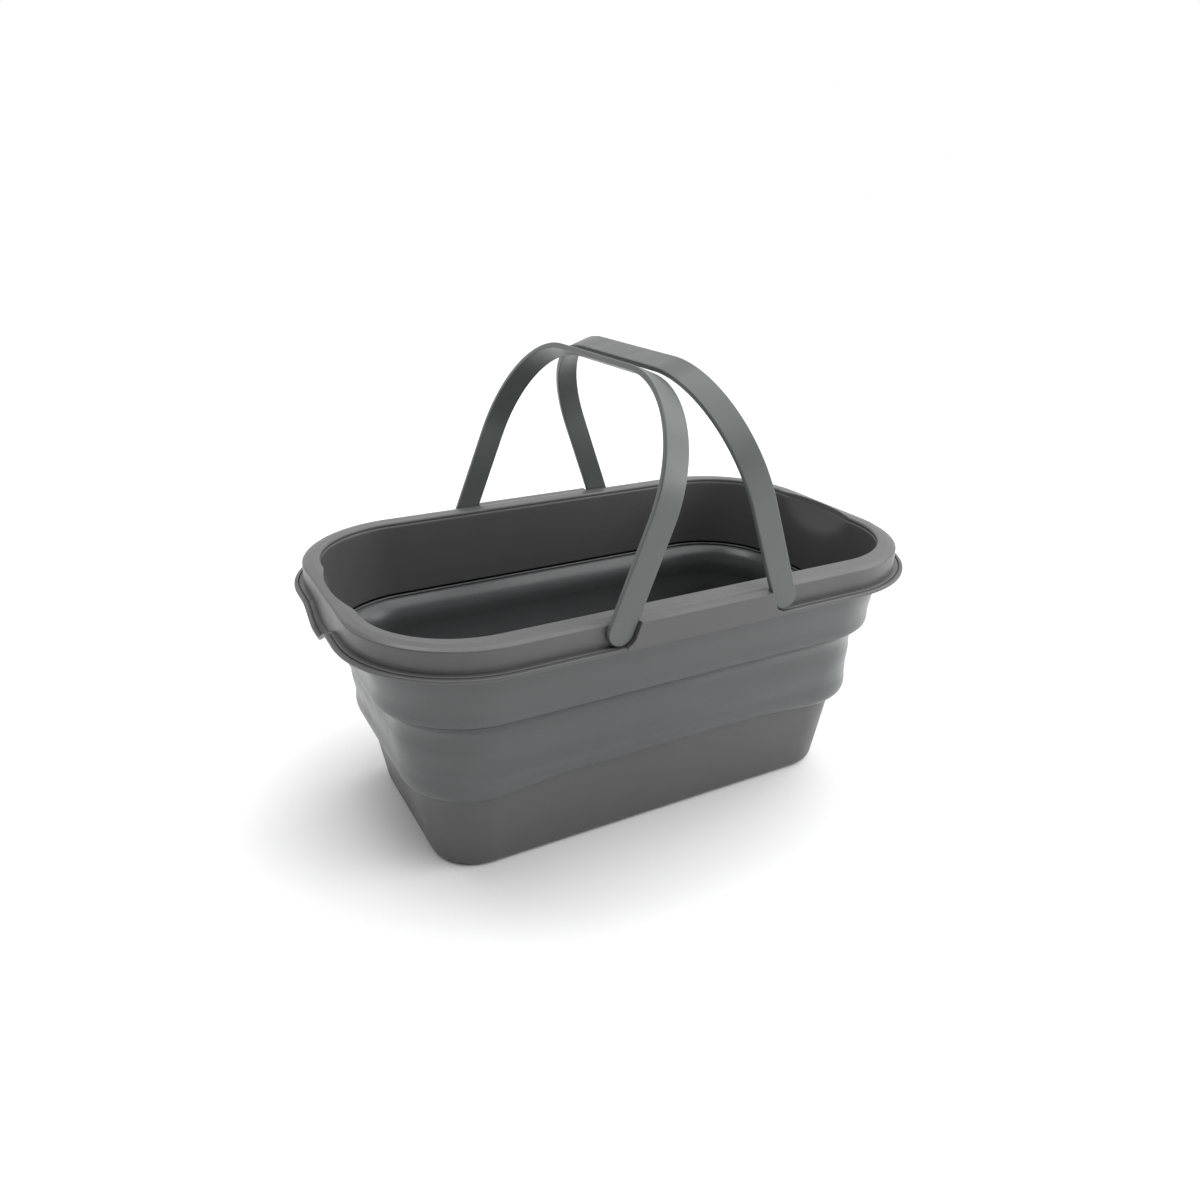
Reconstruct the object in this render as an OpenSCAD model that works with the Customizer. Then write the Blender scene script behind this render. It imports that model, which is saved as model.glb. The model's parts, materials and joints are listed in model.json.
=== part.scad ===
// Folding pet bathtub: a hard base pan, a soft folding wall, a hard rim with a
// cover, and two carrying bails that turn on headed pins.
// Millimetres. The origin is on the floor under the middle of the tub, +X runs
// along the tub and +Z points up.

/* [Outline] */
// Length over the rim's apron
rim_l = 428; // [400:1:450]
// Width over the rim's apron
rim_w = 260; // [250:1:280]
// Height of the rim's top above the floor
rim_h = 192; // [190:1:194]
// Radius of the apron at the tub's corners
rim_r = 82; // [80:1:84]

/* [Base pan] */
// Reach of the pan's side at the floor, beyond the corner centres
foot_r = 35.5; // [34:0.5:38]
// Reach of the pan's side at its top edge
pan_r = 45; // [43:0.5:46]
// Height of the step where the folding wall starts
step_z = 63; // [60:1:66]
// Wall thickness of the hard mouldings
wall = 2.4; // [2:0.1:3]
// Radius of the edge between the pan's side and its floor
foot_edge = 5; // [3:0.5:7]

/* [Folding wall] */
// Thickness of the soft wall
soft_wall = 2; // [1.5:0.1:2.6]
// Height of the groove above the lower fold
groove_z = 128.5; // [128:0.5:129]
// Reach of the upper fold's lower edge, above that groove
groove_r = 67.2; // [67:0.1:67.6]

/* [Rim] */
// Reach of the flange below the apron
flange_r = 89; // [87:0.5:90]
// Top of the flange
flange_z = 175; // [174:0.1:175.1]
// Thickness of the flange
flange_t = 2.4; // [2:0.1:3]
// Width of the rounded shoulder outside the rim's flat band
shoulder_w = 8; // [6:0.5:9]
// How far the grip ear droops in the middle of each short end
ear_droop = 11; // [8:0.5:13]
// Radius of the dished finger scoop in each short end
scoop_r = 82; // [78:1:86]
// Depth of that scoop at the rim's top
scoop_depth = 7; // [5:0.5:7]

/* [Handles] */
// Width of the bail's strap
strap_w = 18.2; // [16:0.2:20]
// Thickness of the strap
strap_t = 4; // [3.5:0.1:4.5]
// Distance of each pivot from the middle of the tub
pivot_x = 63.2; // [62:0.2:65]
// Height of the pivots
pivot_z = 184.6; // [184.5:0.1:185.4]
// Reach of the bail from its pivot to the outside of its top bar
bail_reach = 155.2; // [155:0.1:158]
// Lean of the left bail towards the middle
left_lean = 22.3; // [21:0.1:22.4]
// Lean of the right bail towards the middle
right_lean = 18.8; // [18:0.1:18.9]
// Radius of the pivot pins
pin_r = 3; // [2.5:0.1:3.2]

/* [Hidden] */
$fn = 96;
touch = 0.2;                          // gap between pieces that only rest on each other
fit_gap = 0.05;                       // radial clearance of a pin in its bore
corner_x = rim_l / 2 - rim_r;         // centres of the tub's four corners
corner_y = rim_w / 2 - rim_r;
tongue_t = wall / 2;                  // half-lap tongues that the soft wall is moulded over
tongue_h = 5;
lap_gap = 0.3;                        // gap left between the soft wall and the frame's tongue

// rim cover
cover_t = 2;
shoulder_h = 6.5;                     // drop of the rounded shoulder
mouth_x = 135;                        // the mouth's own corner centres
mouth_y = 47;
mouth_r = 66.5;
band_r = rim_r - shoulder_w;          // where the flat band ends
apron_z = flange_z + 1;               // lower edge of the apron
panel_top = rim_h - 1.6;              // ledge on top of the raised panels
panel_edge = 1.5;
side_panel_y = corner_y + flange_r;   // face of the long sides' panels
lip_end_x = pivot_x - 3;              // where the flange's lip gives way to the side panel
hollow_x = 47;                        // half-width of the hollow behind a side panel

// rim frame
frame_top = rim_h - cover_t;
flange_base = flange_z - flange_t;    // the soft wall laps the frame's outside up to here
tongue_z = 131;                       // lower end of the frame's wall
tongue_r = 64.4;                      // inside of the wall there
upper_r = 71.6;                       // reach of the soft lap under the flange
waist_r = 56;                         // the soft wall's waist, below its flare
flare_z = 113;
flare_x = 66.5;                       // the flare's centre, above and outside the waist
ear_half = 32;                        // half-width of the droop
ear_x = corner_x + flange_r;          // outer edge of the ear
scoop_lift = 16;                      // the scoop's centre is this far above the rim
scoop_base = flange_base;             // the frame carries the scoops between these heights
scoop_top = rim_h - shoulder_h - touch;

// bails and pins
apron_y = corner_y + rim_r;
strap_y = apron_y + 0.4;              // inner face of a bail's leg
bail_y = strap_y + strap_t;           // outer face
bail_corner = 84;                     // outer radius of the bail's corners
pocket_gap = 1.2;                     // gap between a bail's edge and the side panel
pad_t = 4;                            // boss behind the apron that carries a pin
pad_r = 5.2;
head_t = 2;                           // the pin's head
head_r = 4.2;
pin_depth = 2.6;                      // how deep the pin is pressed into the bail

// Points of an arc in [reach, height], centre c, radii rx and rz, from a0 to a1 degrees
function arc(c, rx, rz, a0, a1, n) =
    [for (i = [0 : n]) let (a = a0 + (a1 - a0) * i / n) [c.x + rx * cos(a), c.y + rz * sin(a)]];
// Smooth step from 0 to 1 as t goes from 0 to 1
function smooth(t) = let (u = max(0, min(1, t))) u * u * (3 - 2 * u);
// Droop of the grip ear at a distance y from the middle of the short end
function droop(y) = ear_droop * smooth((ear_half - abs(y)) / (ear_half - 6));

// Carries a closed [reach, height] outline round the tub's rounded rectangle
module swept(outline, cx = corner_x, cy = corner_y) {
    for (corner = [[1, 1, 0], [-1, 1, 90], [-1, -1, 180], [1, -1, 270]])
        translate([corner.x * cx, corner.y * cy, 0]) rotate([0, 0, corner.z])
            rotate_extrude(angle = 90) polygon(outline);
    for (side = [0, 180]) rotate([0, 0, side]) {
        translate([cx, cy, 0]) rotate([90, 0, 0]) linear_extrude(2 * cy) polygon(outline);
        translate([-cx, cy, 0]) rotate([90, 0, 90]) linear_extrude(2 * cx) polygon(outline);
    }
}

// Fills the middle that swept() leaves open, between two heights
module middle(z0, z1) {
    translate([-corner_x, -corner_y, z0]) cube([2 * corner_x, 2 * corner_y, z1 - z0]);
}

// Prism on a rounded rectangle with the given corner centres and radius
module rounded_prism(cx, cy, r, z0, z1) {
    translate([0, 0, z0]) linear_extrude(z1 - z0) union() {
        for (sx = [-1, 1], sy = [-1, 1]) translate([sx * cx, sy * cy]) circle(r);
        square([2 * cx, 2 * (cy + r)], center = true);
        square([2 * (cx + r), 2 * cy], center = true);
    }
}

// Ball that dishes the finger scoop at one short end, side is -1 or 1
module scoop_ball(side, grow = 0) {
    reach = sqrt(scoop_r * scoop_r - scoop_lift * scoop_lift);
    translate([side * (mouth_x + mouth_r + scoop_depth - reach), 0, rim_h + scoop_lift])
        sphere(scoop_r + grow);
}

// ---- base pan -------------------------------------------------------------

// The hard lower pan with its rounded foot and the tongue on its top edge
module base_pan() color([0.36, 0.36, 0.36]) {
    inner_foot = foot_r - wall;
    edge = foot_edge - wall;
    side_wall = concat(
        [[0, 0]],
        arc([foot_r - foot_edge, foot_edge], foot_edge, foot_edge, -90, -8, 6),
        [[pan_r, step_z], [pan_r - tongue_t, step_z], [pan_r - tongue_t, step_z + tongue_h],
         [pan_r - wall, step_z + tongue_h]],
        arc([inner_foot - edge, wall + edge], edge, edge, -8, -90, 4),
        [[0, wall]]);
    union() {
        swept(side_wall);
        middle(0, wall);
    }
}

// ---- folding wall ---------------------------------------------------------

// Outside of the upper fold, from the frame's lower end up to the flange
upper_side = [[groove_r, tongue_z], [groove_r + 0.1, 138], [70.2, 156], [upper_r, flange_base - lap_gap]];
// A list of points moved by dx in reach
function moved(points, dx) = [for (p = points) [p.x + dx, p.y]];
// The same points in the opposite order
function reversed(points) = [for (i = [len(points) - 1 : -1 : 0]) points[i]];

// The whole outside, from the pan's step: lower fold, waist, flare, groove, upper fold
function soft_outside() = concat(
    [[pan_r, step_z], [pan_r + 1, step_z + 0.4]],
    arc([46, 74], 8.3, 10, -76, -5, 6),
    [[53.8, 81], [56, 101], [waist_r, flare_z]],
    arc([flare_x, flare_z], flare_x - waist_r, groove_z - flare_z, 170, 98, 7),
    arc([groove_r - 1.5, tongue_z - 0.3], 1.5, 1.6, -95, -5, 4),
    upper_side);

// The inside, from the lap's top back down to the pan's tongue
function soft_inside() = concat(
    reversed(moved(upper_side, -tongue_t)),
    [[tongue_r + tongue_t, tongue_z - lap_gap], [tongue_r, tongue_z - lap_gap]],
    arc([flare_x, flare_z], flare_x - waist_r + soft_wall, groove_z - flare_z + soft_wall, 108, 180, 7),
    [[56 - soft_wall, 101], [53.8 - soft_wall, 81]],
    arc([46, 74], 8.3 - soft_wall, 10 - soft_wall, -5, -48, 4),
    [[pan_r - tongue_t, step_z + tongue_h], [pan_r - tongue_t, step_z]]);

// The soft moulding between the pan and the rim, standing open
module folding_wall() color([0.33, 0.36, 0.37]) swept(concat(soft_outside(), soft_inside()));

// ---- rim frame ------------------------------------------------------------

// The hard upper wall with its flange, ears and dished ends
module rim_frame() color([0.40, 0.40, 0.40]) {
    hard_side = moved(upper_side, -tongue_t - lap_gap);
    wall_outline = concat(hard_side, [
        [upper_r - tongue_t - lap_gap, flange_base], [flange_r - 1, flange_base],
        [flange_r, flange_base + 0.8], [flange_r, flange_z - 0.6], [flange_r - 0.6, flange_z],
        [tongue_r - 4, flange_z], [tongue_r - 4, tongue_z]]);
    difference() {
        union() {
            difference() {
                swept(wall_outline);
                // the ears replace the flat flange
                for (side = [-1, 1]) translate([side * (ear_x - 7.5), 0, flange_z])
                    cube([17, 2 * ear_half, 4 * flange_t], center = true);
                // the cover's side panels replace the flange's lip
                for (side = [-1, 1]) translate([0, side * side_panel_y, flange_z])
                    cube([2 * (lip_end_x + touch), 2 * (flange_r - rim_r), 4 * flange_t], center = true);
            }
            rounded_prism(mouth_x, mouth_y, mouth_r + wall, flange_z - 1, frame_top);
            for (turn = [0, 180]) rotate([0, 0, turn]) ear();
            for (side = [-1, 1]) intersection() {
                scoop_ball(side, wall);
                translate([side * (corner_x + upper_r + 1), 0, (scoop_base + scoop_top) / 2])
                    cube([18, 80, scoop_top - scoop_base], center = true);
            }
        }
        // the inside widens from the wall's lower end to the mouth
        hull() {
            rounded_prism(corner_x, corner_y, tongue_r, tongue_z - 1, tongue_z);
            rounded_prism(mouth_x, mouth_y, mouth_r, frame_top, rim_h);
        }
        for (side = [-1, 1]) scoop_ball(side);
    }
}

// Points [y, height] of the drooping edge of a short end, from its base height
function droop_edge(base_z) =
    [for (i = [-16 : 16]) let (y = ear_half * i / 16) [y, base_z - droop(y)]];

// The drooping grip ear of the right-hand end, a strip that hangs from a web on the end wall
module ear() {
    root_x = corner_x + upper_r + lap_gap;
    under = reversed(droop_edge(flange_base));
    translate([root_x, 0, 0]) rotate([90, 0, 90]) {
        linear_extrude(ear_x - root_x) polygon(concat(droop_edge(flange_z), under));
        linear_extrude(wall) polygon(concat(under, [[-ear_half, flange_z], [ear_half, flange_z]]));
    }
}

// ---- rim cover ------------------------------------------------------------

// The smooth cover with its apron, panels and the bores for the pins
module rim_cover() color([0.42, 0.42, 0.42]) {
    skin = concat(
        [[rim_r, apron_z]],
        arc([band_r, rim_h - shoulder_h], shoulder_w, shoulder_h, 0, 90, 8),
        [[mouth_r - 8, rim_h], [mouth_r - 8, frame_top]],
        arc([band_r, rim_h - shoulder_h], shoulder_w - cover_t, shoulder_h - cover_t, 90, 0, 6),
        [[rim_r - cover_t, apron_z]]);
    difference() {
        union() {
            swept(skin);
            for (turn = [0, 180]) rotate([0, 0, turn]) {
                side_panel();
                end_panel();
                for (x = [-pivot_x, pivot_x]) pin_pad(x);
            }
        }
        rounded_prism(mouth_x, mouth_y, mouth_r, frame_top - 1, rim_h + 1);
        for (side = [-1, 1]) scoop_ball(side);
        for (side = [-1, 1], x = [-pivot_x, pivot_x])
            translate([x, side * apron_y, pivot_z]) rotate([90, 0, 0])
                cylinder(h = 4 * pad_t, r = pin_r + fit_gap, center = true);
    }
}

// Raised panel between the bails' ends on the back, with slanted ends beside the bails
module side_panel() {
    skin_y = apron_y - cover_t;
    mean_lean = (left_lean + right_lean) / 2;
    reach_out = strap_w / 2 + pocket_gap;
    section = [[apron_y + touch, flange_base], [side_panel_y, flange_base],
               [side_panel_y, panel_top - panel_edge], [side_panel_y - panel_edge, panel_top],
               [skin_y - 2.5, panel_top], [skin_y, panel_top - 3.2], [skin_y, apron_z],
               [apron_y + touch, apron_z]];
    difference() {
        translate([-lip_end_x, 0, 0]) rotate([90, 0, 90]) linear_extrude(2 * lip_end_x) polygon(section);
        // hollow behind the face
        translate([-hollow_x, apron_y - 1, flange_base - 1])
            cube([2 * hollow_x, side_panel_y - wall - apron_y + 1, panel_top - flange_base - wall + 1]);
        // pockets for the bails' ends
        for (x = [-1, 1]) translate([x * pivot_x, side_panel_y, pivot_z]) {
            rotate([90, 0, 0]) cylinder(h = 60, r = reach_out, center = true);
            rotate([0, -x * mean_lean, 0]) translate([x * (20 - reach_out), 0, 15])
                cube([40, 60, 30], center = true);
        }
    }
}

// Squarer shoulder and drooping apron in the middle of the right-hand end
module end_panel() {
    face_x = corner_x + rim_r;
    corner = panel_top - panel_edge;
    translate([face_x - cover_t, 0, 0]) rotate([90, 0, 90]) linear_extrude(cover_t)
        polygon(concat(droop_edge(apron_z), [[ear_half, corner], [-ear_half, corner]]));
    translate([face_x, -corner_y, 0]) rotate([90, 0, 180]) linear_extrude(2 * corner_y)
        polygon([[0, rim_h - shoulder_h], [0, corner], [panel_edge, panel_top], [shoulder_w, panel_top],
                 [shoulder_w, rim_h - shoulder_h]]);
}

// Boss at x behind the back apron, that a pin turns in
module pin_pad(x) {
    translate([x, apron_y - pad_t / 2, pivot_z]) rotate([90, 0, 0])
        cylinder(h = pad_t, r = pad_r, center = true);
}

// ---- bails and pins -------------------------------------------------------

// Filled outline of the bail in its own plane, from below the pivot to its top
module arch(half_w, reach, r) {
    legs = reach - r;
    union() {
        translate([-half_w, -strap_w]) square([2 * half_w, legs + strap_w]);
        translate([-half_w + r, legs]) square([2 * (half_w - r), r]);
        for (x = [-1, 1]) translate([x * (half_w - r), legs]) intersection() {
            circle(r);
            translate([x > 0 ? 0 : -r, 0]) square(r);
        }
    }
}

// One bail, lean degrees towards the middle, with blind holes for its pins
module bail(side, lean) {
    translate([side * pivot_x, 0, pivot_z]) rotate([0, -side * lean, 0]) difference() {
        intersection() {
            rotate([90, 0, 90]) linear_extrude(strap_w + 2, center = true) difference() {
                arch(bail_y, bail_reach, bail_corner);
                arch(strap_y, bail_reach - strap_t, bail_corner - strap_t);
            }
            // straight sides above the pivot and a round end below it
            union() {
                translate([-strap_w / 2, -bail_y, 0]) cube([strap_w, 2 * bail_y, bail_reach]);
                rotate([90, 0, 0]) cylinder(h = 2 * bail_y, r = strap_w / 2, center = true);
            }
        }
        for (y = [-1, 1]) translate([0, y * (strap_y + pin_depth / 2 - 0.5), 0]) rotate([90, 0, 0])
            cylinder(h = pin_depth + 1, r = pin_r, center = true);
    }
}

module handle_left() color([0.40, 0.41, 0.40]) bail(-1, left_lean);
module handle_right() color([0.44, 0.45, 0.44]) bail(1, right_lean);

// Headed pin at x, on the side of y
module pivot_pin(x, side) color([0.30, 0.30, 0.30]) {
    head_y = apron_y - pad_t - 0.2;
    tip_y = strap_y + pin_depth;
    translate([x, side * (head_y + tip_y) / 2, pivot_z]) rotate([90, 0, 0])
        cylinder(h = tip_y - head_y, r = pin_r, center = true);
    translate([x, side * (head_y - head_t / 2), pivot_z]) rotate([90, 0, 0])
        cylinder(h = head_t, r = head_r, center = true);
}

module pivot_pin_front_left() pivot_pin(-pivot_x, -1);
module pivot_pin_front_right() pivot_pin(pivot_x, -1);
module pivot_pin_back_left() pivot_pin(-pivot_x, 1);
module pivot_pin_back_right() pivot_pin(pivot_x, 1);

base_pan();
folding_wall();
rim_frame();
rim_cover();
handle_left();
handle_right();
pivot_pin_front_left();
pivot_pin_front_right();
pivot_pin_back_left();
pivot_pin_back_right();
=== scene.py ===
"""Looks of the folding pet bathtub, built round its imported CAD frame.

Metres, +X along the tub, +Z up, origin on the floor under the middle of the tub.
Every shell is one outline of [reach, height] points carried round the tub's rounded
rectangle, and every bail is one rounded strap bent along its arch.
"""
import json
import math

import bmesh
import bpy
import numpy as np
from mathutils import Matrix, Vector


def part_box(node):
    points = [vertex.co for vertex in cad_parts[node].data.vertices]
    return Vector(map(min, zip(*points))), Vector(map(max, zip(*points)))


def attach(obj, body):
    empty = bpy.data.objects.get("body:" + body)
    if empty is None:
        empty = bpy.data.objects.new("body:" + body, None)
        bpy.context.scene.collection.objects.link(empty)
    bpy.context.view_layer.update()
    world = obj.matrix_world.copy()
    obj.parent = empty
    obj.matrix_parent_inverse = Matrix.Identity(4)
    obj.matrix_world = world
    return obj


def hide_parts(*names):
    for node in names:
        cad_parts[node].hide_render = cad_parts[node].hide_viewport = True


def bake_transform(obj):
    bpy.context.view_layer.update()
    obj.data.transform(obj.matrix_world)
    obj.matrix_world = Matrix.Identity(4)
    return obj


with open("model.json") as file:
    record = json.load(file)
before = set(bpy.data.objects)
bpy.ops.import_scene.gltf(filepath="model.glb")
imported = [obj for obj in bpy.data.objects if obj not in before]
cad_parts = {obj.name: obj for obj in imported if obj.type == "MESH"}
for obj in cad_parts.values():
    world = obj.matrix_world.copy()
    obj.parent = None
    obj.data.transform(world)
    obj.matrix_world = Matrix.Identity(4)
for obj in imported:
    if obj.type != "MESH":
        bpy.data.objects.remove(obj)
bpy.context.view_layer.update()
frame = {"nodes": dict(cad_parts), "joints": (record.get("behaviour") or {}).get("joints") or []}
MM = 0.001

# ---- sizes, in millimetres -------------------------------------------------

cover_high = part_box("rim_cover")[1]
RIM_H = cover_high.z / MM                   # top of the rim
RIM_R = 82.0                                # apron's reach from the corner centres
CORNER = np.array([cover_high.x / MM - RIM_R, 48.0])      # the tub's corner centres
MOUTH = np.array([CORNER[0] + 3.0, CORNER[1] - 1.0])      # the mouth's own corner centres
MOUTH_R = 66.5                              # the mouth's reach from them
FLANGE_R = 89.0                             # the flange's reach
FLANGE_Z = 175.0                            # its top
FLANGE_T = 2.4                              # its thickness
FLANGE_BASE = FLANGE_Z - FLANGE_T
APRON_Z = FLANGE_Z - 0.2                    # lower edge of the apron
FOOT_R = 35.5                               # the pan's reach at the floor
PAN_R = 45.6                                # and at its top edge
STEP_Z = 63.0                               # that edge's height, where the folding wall starts
TONGUE_H = 5.0                              # the pan's tongue inside the folding wall
RISE_FROM = 20.0                            # height on the pan where the side rise begins
SIDE_RISE = 4.4                             # how much higher the pan's edge is on the long sides
RISE_GONE = 94.0                            # height on the soft wall where that has faded out
BULGE_GONE = 96.0                           # and where the corners' bulge has
CORNER_BULGE = 1.8                          # how much further the soft wall stands out in the corners
HARD_WALL_R = 64.4                          # inside of the hard wall at its lower end
WALL = 2.4                                  # hard walls
SOFT = 2.0                                  # soft wall
EAR_HALF = 32.0                             # half-width of the grip ears' droop
EAR_FADE = EAR_HALF - 6.0                   # how far it takes to reach its full depth
EAR_DROOP = 11.0
SQUARE_HALF = 60.0                          # half-width of the squarer shoulder at the short ends
SCOOP_R = 82.0                              # the ball that dishes the finger scoops
SCOOP_LIFT = 16.0                           # its centre's height above the rim
SCOOP_DEPTH = 7.0                           # depth of a scoop at the rim's top
SCOOP_STRETCH = 1.27                        # its width across the tub over a true ball's
SCOOP_HALF = 60.0                           # half-width within which it may cut
SCOOP_FADE = 12.0
UPSTAND_OUT = 6.0                           # room made for it: the upstand set back behind it
WALL_OUT = 1.4                              # and the wall below the flange
PANEL_TOP = RIM_H - 1.6                     # ledge on top of the raised side panels
PANEL_Y = CORNER[1] + FLANGE_R + 0.3        # their faces, just proud of the flange
STRAP_W = 18.2
STRAP_T = 4.0
STRAP_EDGE = 0.9                            # rounding along the strap's edges
STRAP_GAP = 0.4                             # between the apron and a bail's leg
BAIL_REACH = 155.2                          # pivot to the outside of the top bar
BAIL_CORNER = 84.0                          # outer radius of the bail's corners
POCKET_GAP = 0.6                            # round a bail's end in its side panel's pocket
BAIL_DOWN = 89.7                            # degrees from upright to lying along the rim
HINGES = [joint for joint in frame["joints"] if joint["type"] == "hinge"]
PIVOTS = {joint["child"]: Vector(joint["pos_m"]) / MM for joint in HINGES}
LEANS = {joint["child"]: joint["range_deg"][1] - BAIL_DOWN for joint in HINGES}


# ---- outlines ---------------------------------------------------------------

def smooth(t):
    """Smooth step: 0 below 0, 1 above 1, and t * t * (3 - 2 t) between."""
    t = np.clip(t, 0.0, 1.0)
    return t * t * (3.0 - 2.0 * t)


def rounded(corners, steps=6):
    """Closed outline through [reach, height, radius] corners, each replaced by an arc.

    The arc touches both its sides, radius / tan(half the corner's angle) from the corner,
    and its points are the great-circle mean of its two end directions about its centre.
    """
    corners = np.array(corners, float)
    point, radius = corners[:, :2], corners[:, 2:3]
    back, on = np.roll(point, 1, 0) - point, np.roll(point, -1, 0) - point
    back /= np.linalg.norm(back, axis=1, keepdims=True)
    on /= np.linalg.norm(on, axis=1, keepdims=True)
    half = np.arccos(np.clip((back * on).sum(1, keepdims=True), -0.9999, 0.9999)) / 2
    middle = (back + on) / np.linalg.norm(back + on, axis=1, keepdims=True)
    centre = point + middle * radius / np.sin(half)
    first = point + back * radius / np.tan(half) - centre
    last = point + on * radius / np.tan(half) - centre
    turn = (math.pi - 2 * half)[:, None]
    t = np.linspace(0, 1, steps + 1)[None, :, None]
    arc = (np.sin((1 - t) * turn) * first[:, None] + np.sin(t * turn) * last[:, None]) / np.sin(turn)
    return (centre[:, None] + arc).reshape(-1, 2)


def flowing(points, steps=6):
    """Smooth curve through the points: Catmull-Rom, each span a cubic of its four neighbours."""
    p = np.array(points, float)
    p = np.vstack([2 * p[0] - p[1], p, 2 * p[-1] - p[-2]])
    a, b, c, d = (p[i:len(p) - 3 + i, None] for i in range(4))
    t = (np.arange(steps) / steps)[None, :, None]
    span = 0.5 * (2 * b + (c - a) * t + (2 * a - 5 * b + 4 * c - d) * t ** 2
                  + (3 * b - 3 * c + d - a) * t ** 3)
    return np.vstack([span.reshape(-1, 2), p[-2]])


def set_in(curve, depth):
    """The curve moved depth to its left, along its own normals."""
    along = np.gradient(curve, axis=0)
    along /= np.linalg.norm(along, axis=1, keepdims=True)
    return curve + depth * np.stack([-along[:, 1], along[:, 0]], axis=1)


def centred(outline, centre=CORNER):
    """Gives every [reach, height] point the corner centre that it is carried round."""
    return np.column_stack([outline, np.broadcast_to(centre, (len(outline), 2))])


# ---- surfaces ---------------------------------------------------------------

def round_path(corner_steps=22, end_steps=96, side_steps=48):
    """Once round the tub: the share of the corner centre's x and y, and the outward direction.

    A corner turns the direction through 90 degrees about a still centre, and a side moves
    the centre from one corner to the next with a still direction.
    """
    share, out = [], []
    signs = np.array([[1, 1], [-1, 1], [-1, -1], [1, -1]], float)
    for k in range(4):
        angle = math.radians(90) * (k + np.arange(corner_steps) / corner_steps)
        share.append(np.repeat(signs[k:k + 1], corner_steps, 0))
        out.append(np.column_stack([np.cos(angle), np.sin(angle)]))
        steps = side_steps if k % 2 == 0 else end_steps
        t = (np.arange(steps) / steps)[:, None]
        share.append(signs[k] * (1 - t) + signs[(k + 1) % 4] * t)
        angle = math.radians(90) * (k + 1)
        out.append(np.repeat([[math.cos(angle), math.sin(angle)]], steps, 0))
    return np.vstack(share), np.vstack(out)


SHARE, OUT = round_path()


def carried(outline, change=None):
    """Surface of an outline [reach, height, centre x, centre y] carried round the tub.

    x and y are the share times the centre plus the reach times the outward direction.
    change(x, y, reach, height) may return a new reach and height for every point.
    """
    reach, height, cx, cy = (outline[:, i] for i in range(4))
    middle = np.stack([SHARE[:, :1] * cx, SHARE[:, 1:] * cy], axis=2)
    reach = np.broadcast_to(reach, middle.shape[:2])
    height = np.broadcast_to(height, middle.shape[:2])
    if change:
        flat = middle + reach[:, :, None] * OUT[:, None]
        reach, height = change(flat[:, :, 0], flat[:, :, 1], reach, height)
    flat = middle + reach[:, :, None] * OUT[:, None]
    return np.concatenate([flat, height[:, :, None]], axis=2)


def link_object(name, data):
    """New object in the scene, at the origin."""
    piece = bpy.data.objects.new(name, data)
    bpy.context.scene.collection.objects.link(piece)
    return piece


def make_piece(name, points, open_outline=False, merge=False):
    """Mesh of a grid of points in millimetres, closed both ways unless its outline is open."""
    n, m = points.shape[:2]
    index = np.arange(n * m).reshape(n, m)
    quads = np.stack([index, np.roll(index, -1, 0), np.roll(index, (-1, -1), (0, 1)),
                      np.roll(index, -1, 1)], axis=2)
    if open_outline:
        quads = quads[:, :-1]
    mesh = bpy.data.meshes.new(name)
    mesh.from_pydata((points.reshape(-1, 3) * MM).tolist(), [], quads.reshape(-1, 4).tolist())
    piece = link_object(name, mesh)
    if merge:
        weld(mesh)
    finish_mesh(piece)
    return piece


def weld(mesh):
    """Merges the points that fall together at a pole or along a folded seam."""
    work = bmesh.new()
    work.from_mesh(mesh)
    bmesh.ops.remove_doubles(work, verts=work.verts, dist=0.01 * MM)
    bmesh.ops.dissolve_degenerate(work, edges=work.edges, dist=0.001 * MM)
    work.to_mesh(mesh)
    work.free()


def turn_outwards(mesh):
    """Points every face of a closed mesh outwards."""
    work = bmesh.new()
    work.from_mesh(mesh)
    bmesh.ops.recalc_face_normals(work, faces=work.faces)
    work.to_mesh(mesh)
    work.free()


def finish_mesh(piece):
    """Smooth shading whose normals lean to the larger faces, so that flats stay flat."""
    mesh = piece.data
    mesh.update()
    mesh.shade_smooth()
    weighted = piece.modifiers.new("even_normals", "WEIGHTED_NORMAL")
    weighted.weight = 80
    weighted.keep_sharp = True


# ---- base pan ---------------------------------------------------------------

def side_rise(x, y, height):
    """How much the joint of pan and soft wall stands higher along the long sides.

    It grows over the height from RISE_FROM to STEP_Z, and fades out along the side over
    the 70 mm that end 12 mm past the corner's centre.
    """
    on_side = smooth((CORNER[0] + 12 - np.abs(x)) / 70) * (np.abs(y) > CORNER[1])
    return SIDE_RISE * on_side * smooth((height - RISE_FROM) / (STEP_Z - RISE_FROM))


def build_pan():
    """Tapered pan: floor, rounded foot, straight side and a tongue inside the folding wall."""
    tongue_top = STEP_Z + TONGUE_H
    side = rounded([
        [20, 0, 0.01], [FOOT_R - 0.9, 0, 6.0], [PAN_R, STEP_Z, 0.5], [PAN_R - WALL / 2, STEP_Z, 0.2],
        [PAN_R - WALL / 2, tongue_top, 0.4], [PAN_R - WALL, tongue_top, 0.4],
        [FOOT_R - WALL - 1.4, WALL, 7.0], [20, WALL, 0.01]], steps=8)
    # the floor closes at one point above and one below, under the middle of the tub
    outline = np.vstack([[0, 0, 0, 0], centred(side), [0, WALL, 0, 0]])

    def shaped(x, y, reach, height):
        return reach, height + side_rise(x, y, height)

    return make_piece("pan_shell", carried(outline, shaped), open_outline=True, merge=True)


# ---- folding wall -----------------------------------------------------------

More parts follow.
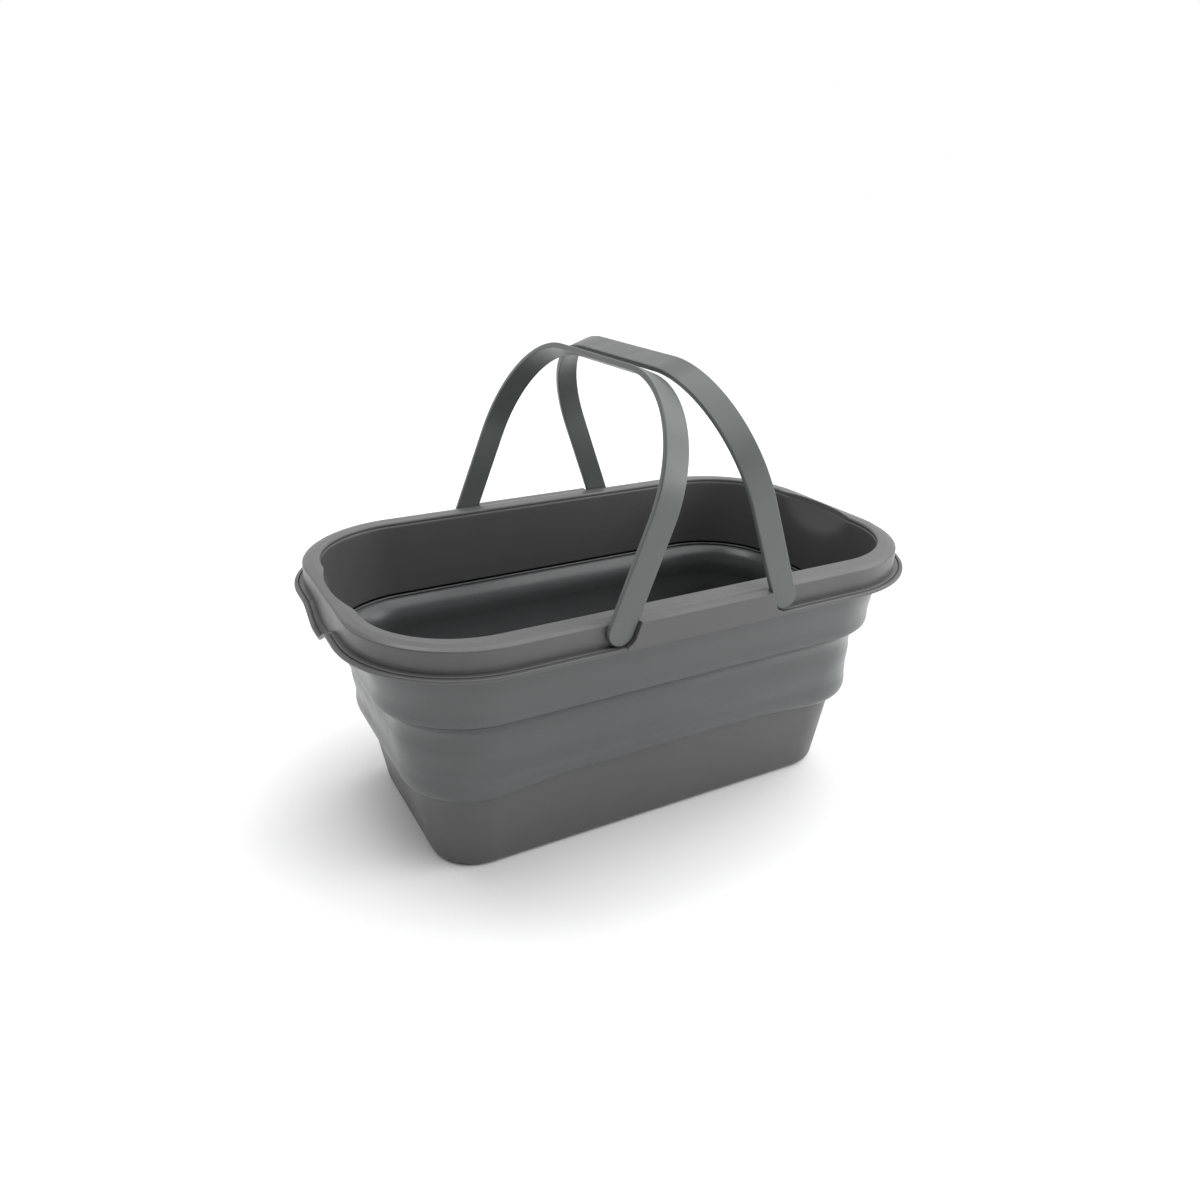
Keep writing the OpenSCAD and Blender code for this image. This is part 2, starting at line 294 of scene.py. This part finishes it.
# Reach and height of the soft wall's outside: rolled foot, waist and flare, a crease, then
# the upper fold
LOWER_FOLD = [[PAN_R - 0.2, STEP_Z + 0.3], [48.6, 64.2], [51.8, 66.6], [53.7, 71.0], [54.0, 76.0],
              [53.5, 81.5], [54.3, 88.0], [55.6, 96.0], [56.1, 103.0], [55.8, 109.0], [56.2, 115.0],
              [58.4, 121.0], [61.6, 125.0], [64.9, 128.0]]
CREASE = [[64.6, 128.3], [63.9, 128.6], [63.9, 129.0], [65.0, 129.1]]
UPPER_FOLD = [[66.2, 129.3], [66.9, 130.2], [67.2, 133.0], [67.2, 137.0], [67.6, 142.0], [68.8, 149.0],
              [70.2, 156.0], [71.2, 164.0], [71.8, FLANGE_BASE - 0.2]]
# Reach from the hard wall's lower end, and height, of the bead and groove under that end
LIP = [[0.8, 130.9], [-0.2, 130.9], [-0.9, 130.7], [-1.1, 130.1],
       [-1.0, 129.6], [-0.5, 129.3], [-0.6, 128.9], [-1.4, 128.7]]


def build_soft_wall():
    """Soft wall in one loop: up the outside, over the lap under the flange, down the inside."""
    tongue_top = STEP_Z + TONGUE_H
    lower, upper = flowing(LOWER_FOLD), flowing(UPPER_FOLD)
    lap = upper[::-1] - [1.2, 0]
    lap = lap[lap[:, 1] > LIP[0][1] + 0.6]
    lip = np.array(LIP) + [HARD_WALL_R, 0]
    inside = set_in(lower, SOFT)[::-1]
    inside = inside[(inside[:, 1] < LIP[-1][1] - 0.3) & (inside[:, 1] > tongue_top + 1.0)]
    foot = [[PAN_R - 1.0, tongue_top + 0.6], [PAN_R - 1.0, STEP_Z + 0.3]]
    loop = np.vstack([lower, CREASE, upper, lap, lip, inside, foot])

    def shaped(x, y, reach, height):
        in_corner = smooth((np.abs(x) - CORNER[0]) / 40) * smooth((np.abs(y) - CORNER[1]) / 40)
        low = smooth((height - STEP_Z - 1.5) / 4) * smooth((BULGE_GONE - height) / 16)
        rise = side_rise(x, y, height) * smooth((RISE_GONE - height) / (RISE_GONE - tongue_top - 1))
        return reach + CORNER_BULGE * in_corner * low - 0.25 * rise * low, height + rise

    return make_piece("soft_wall", carried(centred(loop), shaped))


# ---- rim --------------------------------------------------------------------

def in_the_end(x, y, half, fade):
    """1 in the middle of a short end, falling to 0 between half - fade and half from its middle."""
    return smooth((half - np.abs(y)) / fade) * (np.abs(x) > CORNER[0])


def dished(x, y, reach, height, centre_x):
    """Reach pushed out by the scoop's ball where the ball is the deeper of the two.

    The ball's reach is its centre plus the root of its radius squared less the squares of y
    over its stretch and of the height from its centre. The deeper one is a soft maximum: half
    the sum plus half the root of the squared difference and the squared blend, which grows
    with the depth below the rim.
    """
    half_chord = math.sqrt(SCOOP_R ** 2 - SCOOP_LIFT ** 2)
    ball_x = MOUTH[0] + MOUTH_R + SCOOP_DEPTH - half_chord
    gone = SCOOP_R ** 2 - (y / SCOOP_STRETCH) ** 2 - (height - RIM_H - SCOOP_LIFT) ** 2
    ball = ball_x + np.sqrt(np.maximum(gone, 1.0)) - centre_x
    blend = 0.8 + 0.06 * (RIM_H - height)
    deeper = 0.5 * (reach + ball + np.sqrt((reach - ball) ** 2 + blend ** 2))
    return reach + (deeper - reach) * in_the_end(x, y, SCOOP_HALF, SCOOP_FADE)


def build_frame_shell():
    """Hard wall, flange with its bead and lip, and the upstand under the cover."""
    outside = rounded([
        [HARD_WALL_R + 1.0, 131.0, 0.3], [HARD_WALL_R + 1.6, 136, 3],
        [68.3, 158, 6], [69.8, FLANGE_BASE, 0.5],
        [FLANGE_R - 0.3, FLANGE_BASE - 0.4, 0.8], [FLANGE_R, FLANGE_Z - 0.2, 1.0],
        [FLANGE_R - 2.9, FLANGE_Z - 0.1, 0.4],
        [FLANGE_R - 3.2, FLANGE_Z - 1.3, 0.2], [FLANGE_R - 3.7, FLANGE_Z - 1.3, 0.2],
        [FLANGE_R - 4.1, FLANGE_Z + 0.2, 0.8], [FLANGE_R - 7.6, FLANGE_Z + 0.3, 0.3],
        [FLANGE_R - 7.8, FLANGE_Z - 1.0, 0.2], [MOUTH_R + 7.5, FLANGE_Z - 1.0, 1.0],
        [MOUTH_R + 6.0, RIM_H - 2.2, 0.4], [MOUTH_R + 2, RIM_H - 2.2, 0.4]], steps=5)[:-6]
    rows = np.linspace(0, 1, 26)[:, None]
    top = np.array([MOUTH_R - 0.1, RIM_H - 2.2, *MOUTH])
    foot = np.array([HARD_WALL_R, 131.3, *CORNER])
    inside = top * (1 - rows) + foot * rows
    outline = np.vstack([centred(outside), inside])
    is_inside = np.arange(len(outline)) >= len(outside)

    def shaped(x, y, reach, height):
        on_flange = smooth((reach - 70.0) / 2.0) * (height > FLANGE_BASE - 1) * (height < FLANGE_Z + 2)
        droop = EAR_DROOP * in_the_end(x, y, EAR_HALF, EAR_FADE)
        dish = dished(x, y, reach, height, outline[:, 2])
        on_upstand = (height > FLANGE_Z - 1.2) * (reach < MOUTH_R + 10) * ~is_inside
        on_wall = (height < FLANGE_Z - 1.2) * (reach < 71.5) * ~is_inside
        set_back = UPSTAND_OUT * in_the_end(x, y, SCOOP_HALF + 8, 10) * on_upstand
        wall_share = in_the_end(x, y, SCOOP_HALF, SCOOP_FADE) * smooth((height - 160) / 8)
        set_back += WALL_OUT * wall_share * on_wall
        tuck = 0.2 * smooth((height - RIM_H + 6.0) / 3.8)       # its top hides behind the cover's lip
        return np.where(is_inside, dish + tuck, reach + set_back), height - droop * on_flange

    return make_piece("rim_frame_shell", carried(outline, shaped))


def build_cover_shell():
    """Flat band, rounded shoulder and hanging apron; squarer and drooping at the short ends."""
    apron = [[RIM_R - 2.2, APRON_Z, 0.6], [RIM_R, APRON_Z, 0.7], [RIM_R, RIM_H - 12, 4.0]]
    soft_shoulder = [[RIM_R - 0.1, RIM_H - 2.4, 1.6], [RIM_R - 2.6, RIM_H - 0.8, 2.6]]
    crisp_shoulder = [[RIM_R - 0.1, RIM_H - 1.9, 0.4], [RIM_R - 1.4, RIM_H - 0.9, 0.6]]
    band = [[RIM_R - 7.0, RIM_H, 2.0]]
    lip = [[MOUTH_R, RIM_H, 1.6], [MOUTH_R, RIM_H - 5.0, 0.1]]
    under = [[RIM_R - 8.0, RIM_H - 2.0, 0.5], [RIM_R - 2.2, RIM_H - 7.0, 3.0]]
    steps = 7
    softer = rounded(apron + soft_shoulder + band + lip + under, steps)
    squarer = rounded(apron + crisp_shoulder + band + lip + under, steps) - softer
    outline = centred(softer)
    per_corner = steps + 1
    first = per_corner * len(apron + soft_shoulder + band)
    last = first + per_corner * len(lip)
    outline[first:last, 2:] = MOUTH
    tuck = np.zeros(len(outline))                   # the lip's lower edge hides behind the frame
    tuck[first + per_corner:last] = 0.15

    def shaped(x, y, reach, height):
        square_share = in_the_end(x, y, SQUARE_HALF, 8)
        reach = reach + squarer[:, 0] * square_share
        height = height + squarer[:, 1] * square_share
        droop = EAR_DROOP * in_the_end(x, y, EAR_HALF, EAR_FADE)
        hanging = smooth((RIM_H - 8 - height) / 6) * (reach > RIM_R - 4)
        return dished(x, y, reach, height, outline[:, 2]) + tuck, height - droop * hanging

    return make_piece("rim_cover_shell", carried(outline, shaped))


def build_side_panel(name, side):
    """Raised panel between the bails' ends: an outline cut round both pockets, with rounded edges.

    Above the pivot's height the ends run beside the leaning straps, at pivot x less the
    pocket's radius over the lean's cosine less the rise times its tangent; below it they
    follow the pocket's circle.
    """
    reach = STRAP_W / 2 + POCKET_GAP
    ends = []
    for body, pivot in PIVOTS.items():
        lean = math.radians(LEANS[body])
        turn = np.linspace(-math.radians(72), -lean, 15)        # from the circle's foot to the tangent
        circle = np.column_stack([-reach * np.cos(turn), reach * np.sin(turn)])
        rise = PANEL_TOP - pivot.z
        top = [-reach / math.cos(lean) - rise * math.tan(lean), rise]
        foot = [-3.0, FLANGE_BASE - pivot.z]
        end = np.vstack([foot, circle, top]) * [math.copysign(1, pivot.x), 1] + [pivot.x, pivot.z]
        ends.append(end)
    left, right = sorted(ends, key=lambda e: e[0, 0])
    loop = np.vstack([right, left[::-1]])
    n = len(loop)
    depths = side * np.array([CORNER[1] + RIM_R - 7.0, PANEL_Y])
    points = np.concatenate([np.column_stack([loop[:, 0], np.full(n, y), loop[:, 1]]) for y in depths])
    ring = np.arange(n)
    walls = np.column_stack([ring, np.roll(ring, -1), np.roll(ring, -1) + n, ring + n])
    mesh = bpy.data.meshes.new(name)
    mesh.from_pydata((points * MM).tolist(), [],
                     walls.tolist() + [ring[::-1].tolist(), (ring + n).tolist()])
    piece = link_object(name, mesh)
    turn_outwards(mesh)
    edge = piece.modifiers.new("soft_edges", "BEVEL")
    edge.width = 0.8 * MM
    edge.segments = 4
    edge.limit_method = "ANGLE"
    edge.angle_limit = math.radians(40)
    finish_mesh(piece)
    return piece


# ---- bails ------------------------------------------------------------------

def along_arch(s):
    """The strap's outer face at distance s from the front pivot, and the arch's length.

    Gives y, z from the pivot's height, the outward direction and the whole length. The
    arch runs up the front leg, round a quarter circle, across the top and back down, and
    carries straight on past both pivots.
    """
    half_y = CORNER[1] + RIM_R + STRAP_GAP + STRAP_T
    leg, bar = BAIL_REACH - BAIL_CORNER, 2 * (half_y - BAIL_CORNER)
    quarter = BAIL_CORNER * math.pi / 2
    marks = np.cumsum([leg, quarter, bar, quarter])
    turned = (np.clip(s - marks[0], 0, quarter) + np.clip(s - marks[2], 0, quarter)) / BAIL_CORNER
    across = np.clip(s - marks[1], 0, bar)
    normal = np.stack([-np.cos(turned), np.sin(turned)], axis=-1)
    first = s < marks[1] + bar / 2
    y = np.where(first, -half_y + BAIL_CORNER, half_y - BAIL_CORNER) + BAIL_CORNER * normal[..., 0]
    y = y + np.where(first, across, across - bar)
    z = np.minimum(s, leg) - np.maximum(s - marks[3], 0) + BAIL_CORNER * normal[..., 1]
    return y, z, normal, marks[3] + leg


def build_bail(name, body, straight_steps=40, end_steps=24):
    """Rounded strap: the loops of a stadium at every inset, bent along the arch and leant in.

    A loop runs up one edge, round the far end, back down the other edge and round the near
    end. The strap's half thickness at an inset q from its edge is half its thickness less
    the edge radius plus the root of the radius squared less (radius - q) squared.
    """
    length = along_arch(np.zeros(1))[3]
    half = STRAP_W / 2
    round_in = STRAP_EDGE * (1 - np.cos(np.linspace(0, math.pi / 2, 6)))
    lift = STRAP_T / 2 - STRAP_EDGE + STRAP_EDGE * np.sin(np.linspace(0, math.pi / 2, 6))
    inner = np.linspace(STRAP_EDGE, half, 8)[1:]
    flat = np.full(len(inner), STRAP_T / 2)
    inset = np.concatenate([inner[::-1], round_in[::-1], round_in, inner])
    height = np.concatenate([-flat, -lift[::-1], lift, flat])
    t = np.linspace(0, 1, 4 * straight_steps, endpoint=False)
    turn = np.linspace(0, math.pi, end_steps, endpoint=False)
    # every loop: along the strap, across it as a share of the radius, and the round ends' reach
    far_end, near_end = np.full(end_steps, length), np.zeros(end_steps)
    base_s = np.concatenate([t * length, far_end, (1 - t) * length, near_end])
    share_s = np.concatenate([0 * t, np.sin(turn), 0 * t, -np.sin(turn)])
    share_w = np.concatenate([0 * t + 1, np.cos(turn), 0 * t - 1, -np.cos(turn)])
    radius = (half - inset)[None, :]
    s = base_s[:, None] + share_s[:, None] * radius
    w = share_w[:, None] * radius
    y, z, normal, _ = along_arch(s)
    out = height[None, :] - STRAP_T / 2
    points = np.stack([w, y + out * normal[..., 0], z + out * normal[..., 1]], axis=2)
    pivot = PIVOTS[body]
    lean = math.radians(LEANS[body]) * (-1 if pivot.x > 0 else 1)
    x, y, z = points[..., 0], points[..., 1], points[..., 2]
    leant = np.stack([x * math.cos(lean) + z * math.sin(lean), y,
                      z * math.cos(lean) - x * math.sin(lean)], axis=2)
    return make_piece(name, leant + np.array(pivot), open_outline=True, merge=True)


# ---- materials --------------------------------------------------------------

def plastic(name, colour, roughness, grain, mottle=0.035, coat=0.0):
    """Moulded plastic, given its colour, roughness, grain's depth in millimetres and coat.

    The colour drifts by mottle over some centimetres, the roughness drifts a little, and a
    fine grain breaks up the gloss.
    """
    material = bpy.data.materials.new(name)
    material.use_nodes = True
    nodes, links = material.node_tree.nodes, material.node_tree.links
    shader = nodes["Principled BSDF"]
    place = nodes.new("ShaderNodeTexCoord").outputs["Object"]

    def noise(scale, detail):
        node = nodes.new("ShaderNodeTexNoise")
        node.inputs["Scale"].default_value = scale
        node.inputs["Detail"].default_value = detail
        links.new(place, node.inputs["Vector"])
        return node.outputs["Fac"]

    def mapped(value, low, high):
        node = nodes.new("ShaderNodeMapRange")
        node.inputs["From Min"].default_value = 0.3
        node.inputs["From Max"].default_value = 0.7
        node.inputs["To Min"].default_value = low
        node.inputs["To Max"].default_value = high
        links.new(value, node.inputs["Value"])
        return node.outputs["Result"]

    tint = nodes.new("ShaderNodeMix")
    tint.data_type = "RGBA"
    tint.inputs["A"].default_value = (*[c * (1 - mottle) for c in colour], 1)
    tint.inputs["B"].default_value = (*[c * (1 + mottle) for c in colour], 1)
    links.new(mapped(noise(14.0, 3.0), 0.0, 1.0), tint.inputs["Factor"])
    links.new(tint.outputs["Result"], shader.inputs["Base Color"])
    links.new(mapped(noise(60.0, 4.0), roughness - 0.04, roughness + 0.05), shader.inputs["Roughness"])
    bump = nodes.new("ShaderNodeBump")
    bump.inputs["Distance"].default_value = grain * MM
    bump.inputs["Strength"].default_value = 0.35
    links.new(noise(1400.0, 2.0), bump.inputs["Height"])
    links.new(bump.outputs["Normal"], shader.inputs["Normal"])
    shader.inputs["IOR"].default_value = 1.49
    shader.inputs["Coat Weight"].default_value = coat
    shader.inputs["Coat Roughness"].default_value = 0.28
    return material


def finish_with(piece, material):
    """Gives the piece one material."""
    piece.data.materials.clear()
    piece.data.materials.append(material)


# ---- assembly ---------------------------------------------------------------

hard_grey = plastic("satin_polypropylene", (0.076, 0.076, 0.076), 0.42, 0.05)
rim_grey = plastic("rim_polypropylene", (0.080, 0.080, 0.080), 0.38, 0.05)
bail_grey = plastic("bail_polypropylene", (0.085, 0.090, 0.089), 0.36, 0.04)
soft_grey = plastic("soft_rubber", (0.062, 0.0665, 0.0675), 0.34, 0.03, mottle=0.05, coat=0.15)
pin_grey = plastic("pin_plastic", (0.09, 0.09, 0.09), 0.5, 0.05)

pan = build_pan()
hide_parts("base_pan")
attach(pan, "base")
finish_with(pan, hard_grey)

wall = build_soft_wall()
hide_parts("folding_wall")
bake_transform(wall)
finish_with(wall, soft_grey)

frame_shell = build_frame_shell()
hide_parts("rim_frame")
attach(frame_shell, "rim")
finish_with(frame_shell, hard_grey)

cover_shell = build_cover_shell()
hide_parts("rim_cover")
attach(cover_shell, "rim")
finish_with(cover_shell, rim_grey)
for panel_name, side in (("side_panel_front", -1), ("side_panel_back", 1)):
    panel = build_side_panel(panel_name, side)
    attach(panel, "rim")
    finish_with(panel, rim_grey)

for body, node in (("left_bail", "handle_left"), ("right_bail", "handle_right")):
    bail = build_bail(body + "_strap", body)
    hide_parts(node)
    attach(bail, body)
    finish_with(bail, bail_grey)

for node, piece in frame["nodes"].items():
    if node.startswith("pivot_pin"):
        finish_with(piece, pin_grey)

# ---- floor, light and camera ------------------------------------------------

FLOOR = 60.0                                # half the floor's width, in metres
FLOOR_Z = -0.0005                           # just under the foot
floor_corners = [(-FLOOR, -FLOOR, FLOOR_Z), (FLOOR, -FLOOR, FLOOR_Z),
                 (FLOOR, FLOOR, FLOOR_Z), (-FLOOR, FLOOR, FLOOR_Z)]
floor_mesh = bpy.data.meshes.new("floor")
floor_mesh.from_pydata(floor_corners, [], [(0, 1, 2, 3)])
floor = link_object("floor", floor_mesh)
floor_paint = bpy.data.materials.new("floor_paint")
floor_paint.use_nodes = True
paint = floor_paint.node_tree.nodes["Principled BSDF"]
paint.inputs["Base Color"].default_value = (0.88, 0.88, 0.88, 1)
paint.inputs["Roughness"].default_value = 0.9
floor_mesh.materials.append(floor_paint)


def soft_box(name, place, aim, width, depth, power):
    """Rectangular studio light at place, facing aim."""
    light = bpy.data.lights.new(name, "AREA")
    light.shape = "RECTANGLE"
    light.size = width
    light.size_y = depth
    light.energy = power
    lamp = link_object(name, light)
    lamp.location = place
    lamp.rotation_euler = (Vector(aim) - Vector(place)).to_track_quat("-Z", "Y").to_euler()


def wide_sun(name, towards, strength, spread):
    """Even light from the given direction, softened over the given angle in degrees."""
    light = bpy.data.lights.new(name, "SUN")
    light.energy = strength
    light.angle = math.radians(spread)
    lamp = link_object(name, light)
    lamp.rotation_euler = Vector(towards).to_track_quat("Z", "Y").to_euler()


def studio_world(bright_side, low, high):
    """White room, high on its bright side and all along its skirting, low on its other walls."""
    world = bpy.data.worlds.new("studio")
    world.use_nodes = True
    nodes, links = world.node_tree.nodes, world.node_tree.links
    direction = nodes.new("ShaderNodeTexCoord").outputs["Generated"]

    def fade(axis, dark, bright):
        share = nodes.new("ShaderNodeVectorMath")
        share.operation = "DOT_PRODUCT"
        share.inputs[1].default_value = axis
        links.new(direction, share.inputs[0])
        ramp = nodes.new("ShaderNodeMapRange")
        ramp.inputs["From Min"].default_value = dark
        ramp.inputs["From Max"].default_value = bright
        ramp.inputs["To Min"].default_value = low
        ramp.inputs["To Max"].default_value = high
        links.new(share.outputs["Value"], ramp.inputs["Value"])
        return ramp.outputs["Result"]

    brighter = nodes.new("ShaderNodeMath")
    brighter.operation = "MAXIMUM"
    links.new(fade(bright_side, -0.5, 0.6), brighter.inputs[0])
    # full up to 11 degrees above the horizon, and gone at 17
    links.new(fade((0, 0, -1), -0.3, -0.2), brighter.inputs[1])
    links.new(brighter.outputs["Value"], nodes["Background"].inputs["Strength"])
    nodes["Background"].inputs["Color"].default_value = (1, 1, 1, 1)
    bpy.context.scene.world = world


tub_middle = (0, 0, 0.15)
wide_sun("key_right", (0.42, -0.16, 0.89), 3.0, 80)
soft_box("near_right", (1.0, -0.75, 0.55), tub_middle, 0.7, 0.5, 5)
soft_box("over_left", (-0.5, 0.25, 1.2), (0.1, 0.0, 0.1), 0.5, 0.5, 4)
studio_world((0.48, 0.877, 0), 0.04, 1.0)
bpy.context.scene.view_settings.view_transform = "Standard"

AZIMUTH, ELEVATION, ROLL = math.radians(-28.58), math.radians(23.21), math.radians(0.54)
DISTANCE = 0.7743
TARGET = Vector((0.01314, 0.03429, 0.12775))
back = Vector((math.sin(AZIMUTH) * math.cos(ELEVATION), -math.cos(AZIMUTH) * math.cos(ELEVATION),
               math.sin(ELEVATION)))
right = back.cross(Vector((0, 0, 1))).normalized() * -1
up = back.cross(right)
right, up = (right * math.cos(ROLL) + up * math.sin(ROLL),
             up * math.cos(ROLL) - right * math.sin(ROLL))
camera_data = bpy.data.cameras.new("camera")
camera_data.sensor_width = 36
camera_data.lens = 28.48
camera_data.clip_start = 0.02
camera = link_object("camera", camera_data)
turned = Matrix((right, up, back)).transposed().to_4x4()
camera.matrix_world = Matrix.Translation(TARGET + back * DISTANCE) @ turned
bpy.context.scene.camera = camera
